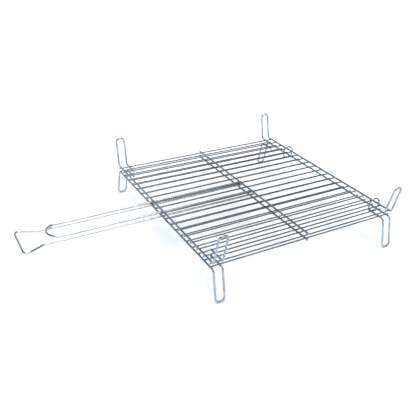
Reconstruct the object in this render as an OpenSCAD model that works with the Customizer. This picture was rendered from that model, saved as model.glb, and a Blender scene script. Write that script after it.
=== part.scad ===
// Double barbecue grate of plated steel wire, closed.
// Two wire leaves lie face to face, joined by two loose rings along the right edge.
// Each leaf has nineteen bars, two side wires that end in hairpin legs, one brace
// under the bars' middle and a hairpin handle. The lower leaf stands on its legs and
// the upper leaf's legs point up, so the grate can be turned over or opened flat.
// Origin: on the ground, below the middle of the grid. X runs along the bars, from the
// handles (-X) to the rings (+X), Y runs across the bars, away from the viewer, Z is up.

/* [Grid] */
// Distance between the left and the right side wire of a leaf, axis to axis
grid_w = 450; // [300:10:600]
// Spacing of the bars, axis to axis, before they are drawn aside
bar_pitch = 25.2; // [23.5:0.1:26.5]
// Number of bars in each leaf
bar_count = 19; // [11:2:25]
// How far the middle bars are drawn aside, the two leaves' bars in opposite ways
bar_drift = 6; // [4:0.5:7]
// How far each bar runs on past the side wires
bar_overhang = 3; // [2.5:0.5:4]

/* [Wire] */
// Diameter of the side wires, legs and braces
frame_wire = 4.4; // [4:0.2:5]
// Diameter of the bars
bar_wire = 3; // [2.5:0.25:3.5]
// Diameter of the handles
handle_wire = 5; // [4:0.5:5.5]
// How far crossing wires sink into each other where they are welded
weld_sink = 0.3; // [0.1:0.1:0.4]

/* [Legs] */
// Height of the lower side wires' axis above the lowest wire axis of the feet
leg_h = 66; // [50:1:100]
// Width of a hairpin leg, axis to axis
leg_w = 20; // [16:1:26]
// How far a foot stands out past the corner of the grid
leg_lean = 14; // [0:1:20]
// Distance from the end bars to the corner where the side wire turns into a leg
corner_out = 9; // [7:1:14]
// Radius of the bend at the corner
corner_r = 7; // [5:0.5:9]
// Length of a leg's free end that lies welded on the first bars
stub_len = 45; // [40:1:60]

/* [Handles] */
// Reach of the long handle, from the left side wire to its far end
long_reach = 297; // [220:5:330]
// Width of the long handle, axis to axis
long_w = 54; // [50:1:56]
// Width at which the flared end's sloping sides would meet its straight end
flare_w = 95; // [80:1:110]
// Length of the flared end
flare_len = 43; // [36:1:50]
// Radius of the flared end's corners
flare_r = 9; // [7:0.5:12]
// Radius of the bend where the flare starts
flare_start_r = 20; // [12:1:30]
// Reach of the short handle, from the left side wire to its round nose
short_reach = 241; // [170:1:246]
// Width of the short handle, axis to axis
short_w = 50; // [48:1:52]
// How far the long handle's middle line lies from the grid's middle
long_offset = 7; // [6:0.5:8]
// How far the short handle's middle line lies from the grid's middle
short_offset = 12; // [11:0.5:12.5]
// How far the handle wires run on past the brace
handle_tail = 8; // [5:1:14]
// Air between the two handles when the grate is closed
leaf_gap = 0.5; // [0.4:0.1:2]

/* [Hinge rings] */
// Diameter of a ring's wire
ring_wire = 3.5; // [3:0.25:4]
// How far a ring's middle hangs below the line that the leaves turn about
ring_sag = 2; // [0:0.25:2.5]
// How far a ring's middle lies inward of that line
ring_inset = 1.5; // [0:0.25:2]
// Least air between a ring and the side wires in it while the grate opens
ring_play = 1; // [0.8:0.1:1.4]
// Air between the two leaves' bar ends when the grate is opened flat
open_gap = 0.6; // [0.4:0.1:2]
// Gap between bars that the far ring hangs in, counted from the far edge
far_ring_gap = 4; // [1:1:4]
// Gap between bars that the near ring hangs in, counted from the near edge
near_ring_gap = 2; // [1:1:3]
// How far both rings hang from the middle of their gaps, towards the far edge
ring_aside = 5.5; // [0:0.5:5.5]
// Angle left open where the two ends of a ring meet
ring_slit = 6; // [3:1:12]

/* [Hidden] */
$fn = 48;
UPPER = 1;
LOWER = -1;
LEFT = -1;
RIGHT = 1;
SIDE_NAMES = ["left", "right"];
LEVEL_NAMES = ["lower", "upper"];

// Distance between the first and the last bar of a leaf, axis to axis
grid_d = bar_pitch * (bar_count - 1);
corner_y = grid_d / 2 + corner_out;

// Heights of the lower leaf's wires. The upper leaf is the lower one's mirror image
// about mid_z, the height at which the leaves meet.
side_z = leg_h + frame_wire / 2;
bar_z = side_z + (frame_wire + bar_wire) / 2 - weld_sink;
handle_z = side_z + (frame_wire + handle_wire) / 2 - weld_sink;
mid_z = handle_z + (handle_wire + leaf_gap) / 2;

// The leaves turn about a line midway between them in height, just past the bars' ends
hinge_out = bar_overhang + open_gap / 2;
hinge_x = grid_w / 2 + hinge_out;
ring_x = hinge_x - ring_inset;
ring_z = mid_z - ring_sag;
far_ring_y = grid_d / 2 - bar_pitch * (far_ring_gap - 0.5) + ring_aside;
near_ring_y = bar_pitch * (near_ring_gap - 0.5) - grid_d / 2 + ring_aside;

// A ring is just wide enough for the upper side wire's way round the hinge line
swing_r = norm([hinge_out, mid_z - side_z]);
ring_r = swing_r + norm([ring_inset, ring_sag]) + ring_play + (frame_wire + ring_wire) / 2;

// Straight length left in the middle of a hairpin's round end
hairpin_flat = 2;

// A bend is a hair thicker than the straights, which run a little way into it, so that
// no two round faces of one wire lie on each other and the wire is one solid
bend_extra = 0.02;
bend_overlap = 0.2;

function bar_name(level, i) = str(level, "_bar_", i < 10 ? "0" : "", i);

// Height z of the lower leaf, on the asked leaf
function on_leaf(z, leaf) = leaf == UPPER ? 2 * mid_z - z : z;

// Place of bar i across the grid: evenly spaced, but drawn aside by up to bar_drift
function bar_y(i, leaf) =
    bar_pitch * (i - 1) - grid_d / 2 + leaf * bar_drift * sin(180 * (i - 1) / (bar_count - 1));

function unit(v) = v / norm(v);

// Angle that a bent wire turns through at point i of its path
function turn(path, i) = acos(unit(path[i] - path[i - 1]) * unit(path[i + 1] - path[i]));

// Length that the bend at point i takes from the straight on each side of it
function setback(path, radii, i) =
    i == 0 || i == len(path) - 1 ? 0 : radii[i] * tan(turn(path, i) / 2);

// Length cut off the path's straights at point i, where its bend takes over
function trim(path, radii, i) = max(0, setback(path, radii, i) - bend_overlap);

// Straight round wire from p to q
module straight(p, q, d) {
    v = q - p;
    translate(p)
        rotate([0, acos(v[2] / norm(v)), atan2(v[1], v[0])])
            cylinder(h = norm(v), d = d);
}

// Round bend at point i of a path
module bend(path, radii, i, d) {
    along = unit(path[i] - path[i - 1]);
    axis = unit(cross(along, path[i + 1] - path[i]));
    inward = cross(axis, along);
    start = path[i] - along * setback(path, radii, i);
    centre = start + inward * radii[i];
    multmatrix([for (k = [0:2]) [-inward[k], along[k], axis[k], centre[k]]])
        rotate_extrude(angle = turn(path, i))
            translate([radii[i], 0])
                circle(d = d + bend_extra);
}

// Round wire bent along a path, with one radius for each point, the ends' unused
module bent_wire(path, radii, d) {
    for (i = [0:len(path) - 2]) {
        along = unit(path[i + 1] - path[i]);
        p = path[i] + along * trim(path, radii, i);
        q = path[i + 1] - along * trim(path, radii, i + 1);
        straight(p, q, d);
    }
    for (i = [1:len(path) - 2])
        bend(path, radii, i, d);
}

// One wire per side of a leaf: stub, hairpin leg, side, hairpin leg, stub
module leg_wire(leaf, side) {
    x_out = side * grid_w / 2;
    x_in = x_out - side * leg_w;
    z = on_leaf(side_z, leaf);
    z_foot = z + leaf * leg_h;
    y_foot = corner_y + leg_lean;
    y_stub = corner_y - stub_len;
    foot_r = (leg_w - hairpin_flat) / 2;
    half = [
        [x_in, y_stub, z],
        [x_in, corner_y, z],
        [x_in, y_foot, z_foot],
        [x_out, y_foot, z_foot],
        [x_out, corner_y, z]
    ];
    half_radii = [0, corner_r, foot_r, foot_r, corner_r];
    count = len(half);
    path = concat(half, [for (k = [1:count]) [half[count - k][0], -half[count - k][1], half[count - k][2]]]);
    radii = concat(half_radii, [for (k = [1:count]) half_radii[count - k]]);
    color("silver") bent_wire(path, radii, frame_wire);
}

// Wire across the bars' middle, on the outer face of a leaf
module brace(leaf) {
    z = on_leaf(side_z, leaf);
    y_end = grid_d / 2 + bar_overhang;
    color("silver") straight([0, -y_end, z], [0, y_end, z], frame_wire);
}

module bar(leaf, i) {
    x_end = grid_w / 2 + bar_overhang;
    y = bar_y(i, leaf);
    z = on_leaf(bar_z, leaf);
    color("gainsboro") straight([-x_end, y, z], [x_end, y, z], bar_wire);
}

// Lower leaf's handle, with a flared end for the hand to pull on
module long_handle() {
    x_end = -grid_w / 2 - long_reach;
    x_flare = x_end + flare_len;
    outline = [
        [handle_tail, long_w / 2],
        [x_flare, long_w / 2],
        [x_end, flare_w / 2],
        [x_end, -flare_w / 2],
        [x_flare, -long_w / 2],
        [handle_tail, -long_w / 2]
    ];
    path = [for (p = outline) [p[0], p[1] + long_offset, handle_z]];
    color("silver") bent_wire(path, [0, flare_start_r, flare_r, flare_r, flare_start_r, 0], handle_wire);
}

// Upper leaf's handle, with a plain round nose
module short_handle() {
    x_end = -grid_w / 2 - short_reach;
    y_far = short_offset + short_w / 2;
    y_near = short_offset - short_w / 2;
    z = on_leaf(handle_z, UPPER);
    nose_r = (short_w - hairpin_flat) / 2;
    path = [[handle_tail, y_far, z], [x_end, y_far, z], [x_end, y_near, z], [handle_tail, y_near, z]];
    color("silver") bent_wire(path, [0, nose_r, nose_r, 0], handle_wire);
}

// Loose ring round both leaves' right side wires, its slit low on the outer side
module hinge_ring(y) {
    slit_middle = -40;
    translate([ring_x, y, ring_z])
        rotate([90, 0, 0])
            rotate([0, 0, slit_middle + ring_slit / 2])
                color("silver") rotate_extrude(angle = 360 - ring_slit)
                    translate([ring_r, 0])
                        circle(d = ring_wire);
}

leg_wire(LOWER, LEFT);  // lower_left_leg_wire
leg_wire(LOWER, RIGHT);  // lower_right_leg_wire
leg_wire(UPPER, LEFT);  // upper_left_leg_wire
leg_wire(UPPER, RIGHT);  // upper_right_leg_wire
brace(LOWER);  // lower_brace
brace(UPPER);  // upper_brace
long_handle();
short_handle();
hinge_ring(far_ring_y);  // far_hinge_ring
hinge_ring(near_ring_y);  // near_hinge_ring
for (i = [1:bar_count]) {
    bar(LOWER, i);
    bar(UPPER, i);
}
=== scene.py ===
"""Looks of the double barbecue grate: plated wire finishes, weld beads, floor, light and camera."""
import math
import random

import bmesh
import bpy
from mathutils import Matrix, Vector


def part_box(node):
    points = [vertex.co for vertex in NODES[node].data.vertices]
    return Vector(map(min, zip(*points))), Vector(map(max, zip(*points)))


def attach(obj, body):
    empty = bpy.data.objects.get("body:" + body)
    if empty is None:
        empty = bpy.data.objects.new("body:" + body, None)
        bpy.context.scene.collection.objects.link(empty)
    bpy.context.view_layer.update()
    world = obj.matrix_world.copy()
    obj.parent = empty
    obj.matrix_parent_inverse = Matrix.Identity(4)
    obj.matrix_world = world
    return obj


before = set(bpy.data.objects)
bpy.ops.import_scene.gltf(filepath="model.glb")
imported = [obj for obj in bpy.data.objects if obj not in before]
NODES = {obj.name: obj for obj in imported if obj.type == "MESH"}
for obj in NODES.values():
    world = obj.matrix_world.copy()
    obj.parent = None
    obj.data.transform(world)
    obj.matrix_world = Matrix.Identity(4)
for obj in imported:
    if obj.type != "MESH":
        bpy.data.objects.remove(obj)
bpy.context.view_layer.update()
scene = bpy.context.scene

# Camera, fitted to the photograph's straight wires. Metres and degrees.
CAMERA_AT = (-0.6581, -0.9435, 0.6659)
CAMERA_YAW = -30.39
CAMERA_DOWN = 29.24
CAMERA_ROLL = 2.26
SENSOR_MM = 36.0
LENS_MM = 47.62

# Lamp overhead, its width in degrees
LAMP_STRENGTH = 2.0
LAMP_WIDTH = 44.0

# Room. Colours are linear. Each edge is a pair of values of a direction's X, Y or Z, from which
# one colour fades into the other. A direction's Z is the sine of its elevation.
PALE_WALL = (0.98, 0.985, 0.99)
DIM_ROOM = (0.0, 0.08, 0.17)
WALL_TOP = (0.36, 0.46)
PANEL = (0.92, 0.93, 0.94)
PANEL_INNER = (0.10, 0.24)
PANEL_OUTER = (0.40, 0.54)
PANEL_BACK = (0.10, 0.30)

# Floor, its size in metres
FLOOR_HALF = 30.0
FLOOR_COLOR = (0.93, 0.915, 0.905)
FLOOR_GLOW = 0.28

# Noise patterns: cells per metre, levels of detail, and how strong the finer levels are
DRAWING_LINES = (2600.0, 4.0, 0.6)
CLOUDS = (55.0, 4.0, 0.6)
SPECKS = (900.0, 2.0, 0.5)
WELD_SPOTS = (260.0, 3.0, 0.6)
WELD_GRAIN = (1500.0, 3.0, 0.6)

# How the drawing lines' pattern is scaled on each axis: a low value draws it out along the wire.
# A ring's wire runs every way round, so its pattern is coarser and even.
LINES_ALONG = {"x": (0.03, 1.0, 1.0), "y": (1.0, 0.03, 1.0), "round": (0.6, 0.6, 0.6)}

# Plating: bright colour, dull colour and roughness. The zinc is the same on every part, but each part's
# colours are set lighter or darker by how bright it looks under this light. The frame, the rings and
# most of all the bars carry painted shade: they are darkened as if they mirrored a dim room. The
# handles, the lightest, carry a painted highlight.
FRAME_ZINC_PAINTED_SHADE = ((0.48, 0.54, 0.58), (0.31, 0.37, 0.41), 0.16)
BAR_ZINC_PAINTED_SHADE = ((0.275, 0.315, 0.35), (0.175, 0.205, 0.235), 0.17)
HANDLE_ZINC_PAINTED_HIGHLIGHT = ((0.71, 0.73, 0.74), (0.54, 0.565, 0.58), 0.14)
RING_ZINC_PAINTED_SHADE = ((0.34, 0.39, 0.43), (0.22, 0.27, 0.31), 0.16)

# Patterns of the plating. An edge is the pair of noise values between which a pattern sets in.
CLOUD_EDGE = (0.36, 0.64)
CLOUD_ROUGHNESS = 0.07
SPECK_EDGE = (0.55, 0.72)
SPECK_STRENGTH = 0.45
SPECK_SHADE = 0.6
LINES_EDGE = (0.3, 0.7)
LINES_SMOOTHEST = -0.07
LINES_ROUGHEST = 0.1

# Plating burnt dull on each side of a weld. The reach is in metres from the weld's middle.
BURNT_REACH = (0.002, 0.006)
BURNT_CLOUDS = (0.3, 0.7)
BURNT_STRENGTH = (0.25, 0.75)
BURNT_TINT = (0.55, 0.52, 0.5)
BURNT_ROUGHNESS = 0.2

# Weld metal: grey where it is clean, bluish and brownish where the zinc burnt off
WELD_BLUE = (0.26, 0.30, 0.35)
WELD_GREY = (0.50, 0.55, 0.58)
WELD_BROWN = (0.32, 0.26, 0.20)
GREY_EDGE = (0.38, 0.55)
BROWN_EDGE = (0.58, 0.70)
BROWN_STRENGTH = 0.7
GRAIN_EDGE = (0.3, 0.7)
WELD_ROUGHNESS = (0.24, 0.42)

# Bump: strength, and depth in metres
WIRE_BUMP = (0.35, 0.00008)
SPECK_BUMP = 0.5
WELD_BUMP = (0.6, 0.00015)

# Weld beads: radii in metres along X, Y and Z, where bars and where handles cross the frame wires
BAR_BEAD = (0.0026, 0.0024, 0.0011)
HANDLE_BEAD = (0.0031, 0.0034, 0.0015)
BEAD_SIZES = (0.85, 1.12)
BEAD_LUMPS = (0.9, 1.1)
BEAD_SEGMENTS = 12
BEAD_RINGS = 8
BEAD_SEED = 5

# A point is taken as on a wire within this many of its radii, and as on its end within this many metres
ON_WIRE = 1.02
ON_END = 0.0001

# The colour sockets of a Mix node
MIX_A = 6
MIX_B = 7
MIX_RESULT = 2

LEVELS = ("lower", "upper")


def node_names(start, end=""):
    """The CAD nodes whose names begin and end so, in order."""
    return sorted(n for n in NODES if n.startswith(start) and n.endswith(end))


def middle(name):
    """The middle of a CAD node's box."""
    low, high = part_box(name)
    return (low + high) / 2


def node_points(name):
    """The points of a CAD node's mesh."""
    return [v.co for v in NODES[name].data.vertices]


def make_camera():
    """The camera at the photograph's place."""
    data = bpy.data.cameras.new("camera")
    data.sensor_width = SENSOR_MM
    data.lens = LENS_MM
    camera = bpy.data.objects.new("camera", data)
    turn = Matrix.Rotation(math.radians(CAMERA_YAW), 4, "Z")
    tilt = Matrix.Rotation(math.radians(90 - CAMERA_DOWN), 4, "X")
    roll = Matrix.Rotation(math.radians(CAMERA_ROLL), 4, "Z")
    camera.matrix_world = Matrix.Translation(CAMERA_AT) @ turn @ tilt @ roll
    scene.collection.objects.link(camera)
    scene.camera = camera


class Nodes:
    """Short calls for building one node tree."""

    def __init__(self, tree):
        self.tree = tree
        tree.nodes.clear()

    def add(self, kind, **values):
        node = self.tree.nodes.new("ShaderNode" + kind)
        for key, value in values.items():
            setattr(node, key, value)
        return node

    def link(self, a, b):
        self.tree.links.new(a, b)

    def place(self):
        """The object's own coordinates."""
        return self.add("TexCoord").outputs["Object"]

    def noise(self, vector, scale, detail, roughness):
        node = self.add("TexNoise")
        self.link(vector, node.inputs["Vector"])
        node.inputs["Scale"].default_value = scale
        node.inputs["Detail"].default_value = detail
        node.inputs["Roughness"].default_value = roughness
        return node.outputs["Fac"]

    def remap(self, value, edge, to_low=0.0, to_high=1.0):
        """to_low below the edge's two values, to_high above them, and a steady change between."""
        node = self.add("MapRange")
        self.link(value, node.inputs["Value"])
        node.inputs["From Min"].default_value = edge[0]
        node.inputs["From Max"].default_value = edge[1]
        node.inputs["To Min"].default_value = to_low
        node.inputs["To Max"].default_value = to_high
        return node.outputs["Result"]

    def mix_color(self, fac, a, b):
        node = self.add("Mix", data_type="RGBA")
        self.link(fac, node.inputs["Factor"])
        for socket, value in ((node.inputs[MIX_A], a), (node.inputs[MIX_B], b)):
            if isinstance(value, tuple):
                socket.default_value = (*value, 1.0)
            else:
                self.link(value, socket)
        return node.outputs[MIX_RESULT]

    def math(self, operation, a, b=None):
        node = self.add("Math", operation=operation)
        for socket, value in zip(node.inputs, (a, b)):
            if value is None:
                continue
            if isinstance(value, (int, float)):
                socket.default_value = value
            else:
                self.link(value, socket)
        return node.outputs[0]

    def bump(self, height, strength, depth):
        node = self.add("Bump")
        node.inputs["Strength"].default_value = strength
        node.inputs["Distance"].default_value = depth
        self.link(height, node.inputs["Height"])
        return node.outputs["Normal"]

    def metal(self, color, roughness, normal):
        """The material's surface: bare metal."""
        shader = self.add("BsdfPrincipled")
        shader.inputs["Metallic"].default_value = 1.0
        self.link(color, shader.inputs["Base Color"])
        self.link(roughness, shader.inputs["Roughness"])
        self.link(normal, shader.inputs["Normal"])
        self.link(shader.outputs["BSDF"], self.add("OutputMaterial").inputs["Surface"])


def new_material(name):
    """A material and the calls that build its nodes."""
    material = bpy.data.materials.new(name)
    material.use_nodes = True
    return material, Nodes(material.node_tree)


def weld_rings(n, where, rows):
    """How near a point is to a weld: 1 at the rows, which are places on the x axis, falling to 0."""
    split = n.add("SeparateXYZ")
    n.link(where, split.inputs[0])
    nearest = None
    for row in rows:
        off = n.math("ABSOLUTE", n.math("SUBTRACT", split.outputs["X"], row))
        near = n.remap(off, BURNT_REACH, 1.0, 0.0)
        nearest = near if nearest is None else n.math("MAXIMUM", nearest, near)
    return nearest


def plated_wire(name, along, zinc, weld_rows=()):
    """Zinc-plated drawn wire: cloudy plating, fine drawing lines and dulled rings at the welds.

    along is the axis that the wire runs along. weld_rows are places on the x axis, in metres,
    where crossing wires are welded on."""
    # The colours in zinc carry the part's painted shade or painted highlight, as well as the plating's
    # own tone.
    bright, dull, roughness = zinc
    material, n = new_material(name)
    where = n.place()
    stretched = n.add("Mapping")
    n.link(where, stretched.inputs["Vector"])
    stretched.inputs["Scale"].default_value = LINES_ALONG[along]
    lines = n.noise(stretched.outputs["Vector"], *DRAWING_LINES)
    clouds = n.noise(where, *CLOUDS)
    specks = n.noise(where, *SPECKS)

    cloudy = n.remap(clouds, CLOUD_EDGE)
    color = n.mix_color(cloudy, bright, dull)
    speckled = n.math("MULTIPLY", n.remap(specks, SPECK_EDGE), SPECK_STRENGTH)
    color = n.mix_color(speckled, color, tuple(c * SPECK_SHADE for c in dull))
    rough = n.remap(lines, LINES_EDGE, roughness + LINES_SMOOTHEST, roughness + LINES_ROUGHEST)
    rough = n.math("ADD", rough, n.math("MULTIPLY", cloudy, CLOUD_ROUGHNESS))

    if weld_rows:
        strength = n.remap(clouds, BURNT_CLOUDS, *BURNT_STRENGTH)
        burnt = n.math("MULTIPLY", weld_rings(n, where, weld_rows), strength)
        color = n.mix_color(burnt, color, tuple(c * tint for c, tint in zip(dull, BURNT_TINT)))
        rough = n.math("ADD", rough, n.math("MULTIPLY", burnt, BURNT_ROUGHNESS))

    height = n.math("ADD", lines, n.math("MULTIPLY", specks, SPECK_BUMP))
    n.metal(color, rough, n.bump(height, *WIRE_BUMP))
    return material


def weld_metal():
    """Weld metal: the zinc burnt off in spots, bluish and brownish, with a dull grain."""
    material, n = new_material("weld_metal")
    where = n.place()
    spots = n.noise(where, *WELD_SPOTS)
    grain = n.noise(where, *WELD_GRAIN)
    color = n.mix_color(n.remap(spots, GREY_EDGE), WELD_BLUE, WELD_GREY)
    color = n.mix_color(n.remap(spots, BROWN_EDGE, 0.0, BROWN_STRENGTH), color, WELD_BROWN)
    n.metal(color, n.remap(grain, GRAIN_EDGE, *WELD_ROUGHNESS), n.bump(grain, *WELD_BUMP))
    return material


def wire_radius(name, axis):
    """Radius of a wire, measured along an axis that it nowhere runs along."""
    low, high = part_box(name)
    return (high[axis] - low[axis]) / 2


def frame_columns(level, wire_r):
    """The lines along Y on which a leaf's bars are welded: its brace, side wires and leg stubs.

    Each is its place on the x axis and how far from the middle it begins."""
    columns = [(middle(level + "_brace").x, 0.0)]
    for side, sign in (("left", -1), ("right", 1)):
        name = level + "_" + side + "_leg_wire"
        inner, outer = sorted(abs(corner.x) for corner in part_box(name))
        stub_x = inner + wire_r
        side_x = outer - wire_r
        stub_ys = [abs(p.y) for p in node_points(name) if abs(abs(p.x) - stub_x) < wire_r * ON_WIRE]
        columns += [(sign * side_x, 0.0), (sign * stub_x, min(stub_ys))]
    return columns


def handle_wires(name):
    """The places on the y axis of a handle's two wires, taken at their ends."""
    end_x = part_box(name)[1].x
    ys = [p.y for p in node_points(name) if p.x > end_x - ON_END]
    halfway = (min(ys) + max(ys)) / 2
    near_ys = [y for y in ys if y < halfway]
    far_ys = [y for y in ys if y > halfway]
    return [(min(part) + max(part)) / 2 for part in (near_ys, far_ys)]


def weld_places(level):
    """Middles of a leaf's welds, each with the radii of its bead. The bars, and the handle, lie
    on the inner side of the side wires, the stubs and the brace."""
    wire_r = wire_radius(level + "_brace", 0)
    wire_z = middle(level + "_brace").z
    columns = frame_columns(level, wire_r)

    bars = [middle(name) for name in node_names(level + "_bar_")]
    bar_r = wire_radius(level + "_bar_01", 2)
    bar_weld_z = wire_z + (bars[0].z - wire_z) * wire_r / (wire_r + bar_r)
    places = []
    for x, start in columns:
        places += [((x, bar.y, bar_weld_z), BAR_BEAD) for bar in bars if abs(bar.y) > start]

    handle = "long_handle" if level == "lower" else "short_handle"
    handle_r = wire_radius(handle, 2)
    handle_weld_z = wire_z + (middle(handle).z - wire_z) * wire_r / (wire_r + handle_r)
    brace_x, left_side_x = columns[0][0], columns[1][0]
    for y in handle_wires(handle):
        places += [((x, y, handle_weld_z), HANDLE_BEAD) for x in (left_side_x, brace_x)]
    return places


def make_welds(level, material):
    """One mesh with a small squeezed-out bead of weld metal at every crossing of a leaf."""
    rng = random.Random(BEAD_SEED + LEVELS.index(level))
    mesh = bpy.data.meshes.new(level + "_welds")
    bm = bmesh.new()
    for place, radii in weld_places(level):
        size = [r * rng.uniform(*BEAD_SIZES) for r in radii]
        pose = Matrix.Translation(Vector(place)) @ Matrix.Diagonal((*size, 1.0))
        pose = pose @ Matrix.Rotation(rng.uniform(0.0, math.tau), 4, "Z")
        made = bmesh.ops.create_uvsphere(
            bm, u_segments=BEAD_SEGMENTS, v_segments=BEAD_RINGS, radius=1.0, matrix=pose)
        centre = Vector(place)
        for vertex in made["verts"]:
            vertex.co = centre + (vertex.co - centre) * rng.uniform(*BEAD_LUMPS)
    for face in bm.faces:
        face.smooth = True
    bm.to_mesh(mesh)
    bm.free()
    mesh.materials.append(material)
    welds = bpy.data.objects.new(level + "_welds", mesh)
    scene.collection.objects.link(welds)
    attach(welds, level + "_leaf")


def dress(names, material):
    """Gives CAD nodes their material."""
    for name in names:
        slots = NODES[name].data.materials
        slots.clear()
        slots.append(material)


def make_floor():
    """A pale matt floor. Its glow shows to the camera and in mirrored views, and lights nothing."""
    half = FLOOR_HALF
    corners = [(-half, -half, 0), (half, -half, 0), (half, half, 0), (-half, half, 0)]
    mesh = bpy.data.meshes.new("floor")
    mesh.from_pydata(corners, [], [(0, 1, 2, 3)])
    floor = bpy.data.objects.new("floor", mesh)
    scene.collection.objects.link(floor)
    material, n = new_material("pale_floor")
    shader = n.add("BsdfDiffuse")
    shader.inputs["Color"].default_value = (*FLOOR_COLOR, 1.0)
    path = n.add("LightPath")
    seen = n.math("MAXIMUM", path.outputs["Is Camera Ray"], path.outputs["Is Glossy Ray"])
    seen = n.math("MAXIMUM", seen, path.outputs["Is Transmission Ray"])
    glow = n.add("Emission")
    n.link(n.math("MULTIPLY", seen, FLOOR_GLOW), glow.inputs["Strength"])
    both = n.add("AddShader")
    n.link(shader.outputs["BSDF"], both.inputs[0])
    n.link(glow.outputs["Emission"], both.inputs[1])
    n.link(both.outputs["Shader"], n.add("OutputMaterial").inputs["Surface"])
    mesh.materials.append(material)


def make_room():
    """The surroundings: two pale panels side by side in front of the grate, in a room that is
    nearly white at floor level and dim above."""
    world = bpy.data.worlds.new("studio")
    scene.world = world
    world.use_nodes = True
    n = Nodes(world.node_tree)
    direction = n.add("SeparateXYZ")
    n.link(n.add("TexCoord").outputs["Generated"], direction.inputs[0])
    aside = n.math("ABSOLUTE", direction.outputs["X"])
    panel = n.remap(aside, PANEL_INNER)
    panel = n.math("MULTIPLY", panel, n.remap(aside, PANEL_OUTER, 1.0, 0.0))
    panel = n.math("MULTIPLY", panel, n.remap(direction.outputs["Y"], PANEL_BACK, 1.0, 0.0))
    upper_room = n.mix_color(panel, DIM_ROOM, PANEL)
    above_wall = n.remap(direction.outputs["Z"], WALL_TOP)
    background = n.add("Background")
    n.link(n.mix_color(above_wall, PALE_WALL, upper_room), background.inputs["Color"])
    n.link(background.outputs["Background"], n.add("OutputWorld").inputs["Surface"])


def make_lamp():
    """A wide soft lamp, which shines straight down."""
    data = bpy.data.lights.new("overhead", "SUN")
    data.energy = LAMP_STRENGTH
    data.angle = math.radians(LAMP_WIDTH)
    scene.collection.objects.link(bpy.data.objects.new("overhead", data))


# Where the side wires and the brace cross the bars, on the x axis
side_x = abs(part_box("lower_left_leg_wire")[0].x) - wire_radius("lower_brace", 0)
weld_rows = (-side_x, 0.0, side_x)

# The plating colours below carry painted shade, and on the handles a painted highlight.
frame_metal = plated_wire("frame_plating_painted_shade", "y", FRAME_ZINC_PAINTED_SHADE)
bar_metal = plated_wire("bar_plating_painted_shade", "x", BAR_ZINC_PAINTED_SHADE, weld_rows)
handle_metal = plated_wire("handle_plating_painted_highlight", "x", HANDLE_ZINC_PAINTED_HIGHLIGHT, weld_rows[:2])
ring_metal = plated_wire("ring_plating_painted_shade", "round", RING_ZINC_PAINTED_SHADE)

dress(node_names("", "_leg_wire") + node_names("", "_brace"), frame_metal)
dress(node_names("lower_bar_") + node_names("upper_bar_"), bar_metal)
dress(node_names("", "_handle"), handle_metal)
dress(node_names("", "_hinge_ring"), ring_metal)

bead_metal = weld_metal()
for leaf_level in LEVELS:
    make_welds(leaf_level, bead_metal)

make_floor()
make_room()
make_lamp()
make_camera()

scene.view_settings.view_transform = "Standard"
